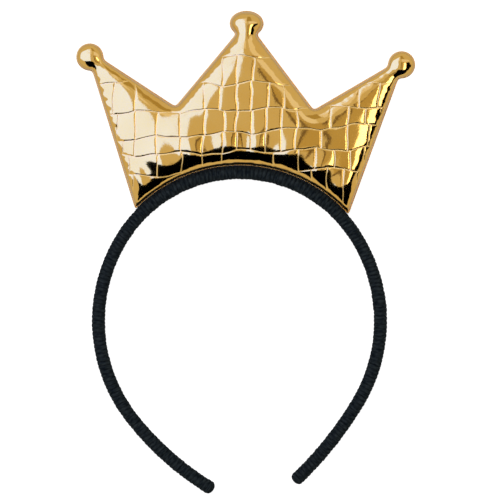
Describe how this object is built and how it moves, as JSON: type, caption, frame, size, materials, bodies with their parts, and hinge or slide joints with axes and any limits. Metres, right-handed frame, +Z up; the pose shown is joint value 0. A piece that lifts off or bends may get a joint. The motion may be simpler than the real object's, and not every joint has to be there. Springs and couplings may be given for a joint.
{
  "type": "crown headband",
  "caption": "Hair hoop bound in black cord with a padded gold crown standing on top, worn across the head as a party or costume accessory.",
  "frame": {"origin": "centre of the bounding box on the surface that the headband lies on", "axes": "+Z up from that surface, out of the crown's front; +Y from the hoop's open ends to the crown's middle peak; +X to the right as seen from the front"},
  "size_m": [0.155, 0.2206, 0.0179],
  "materials": {
    "gold_film": "mirror gold metallised film, embossed with a reptile grain",
    "black_cord": "matt black wound textile",
    "hoop_strip": "plain springy plastic strip",
    "wadding": "soft white wadding",
    "glue": "cloudy set glue"
  },
  "bodies": {
    "root": {"hoop_core": "hoop_strip", "hoop_wrap": "black_cord", "crown_front_film": "gold_film", "crown_back_film": "gold_film", "crown_wadding": "wadding", "glue_line": "glue"}
  },
  "joints": []
}
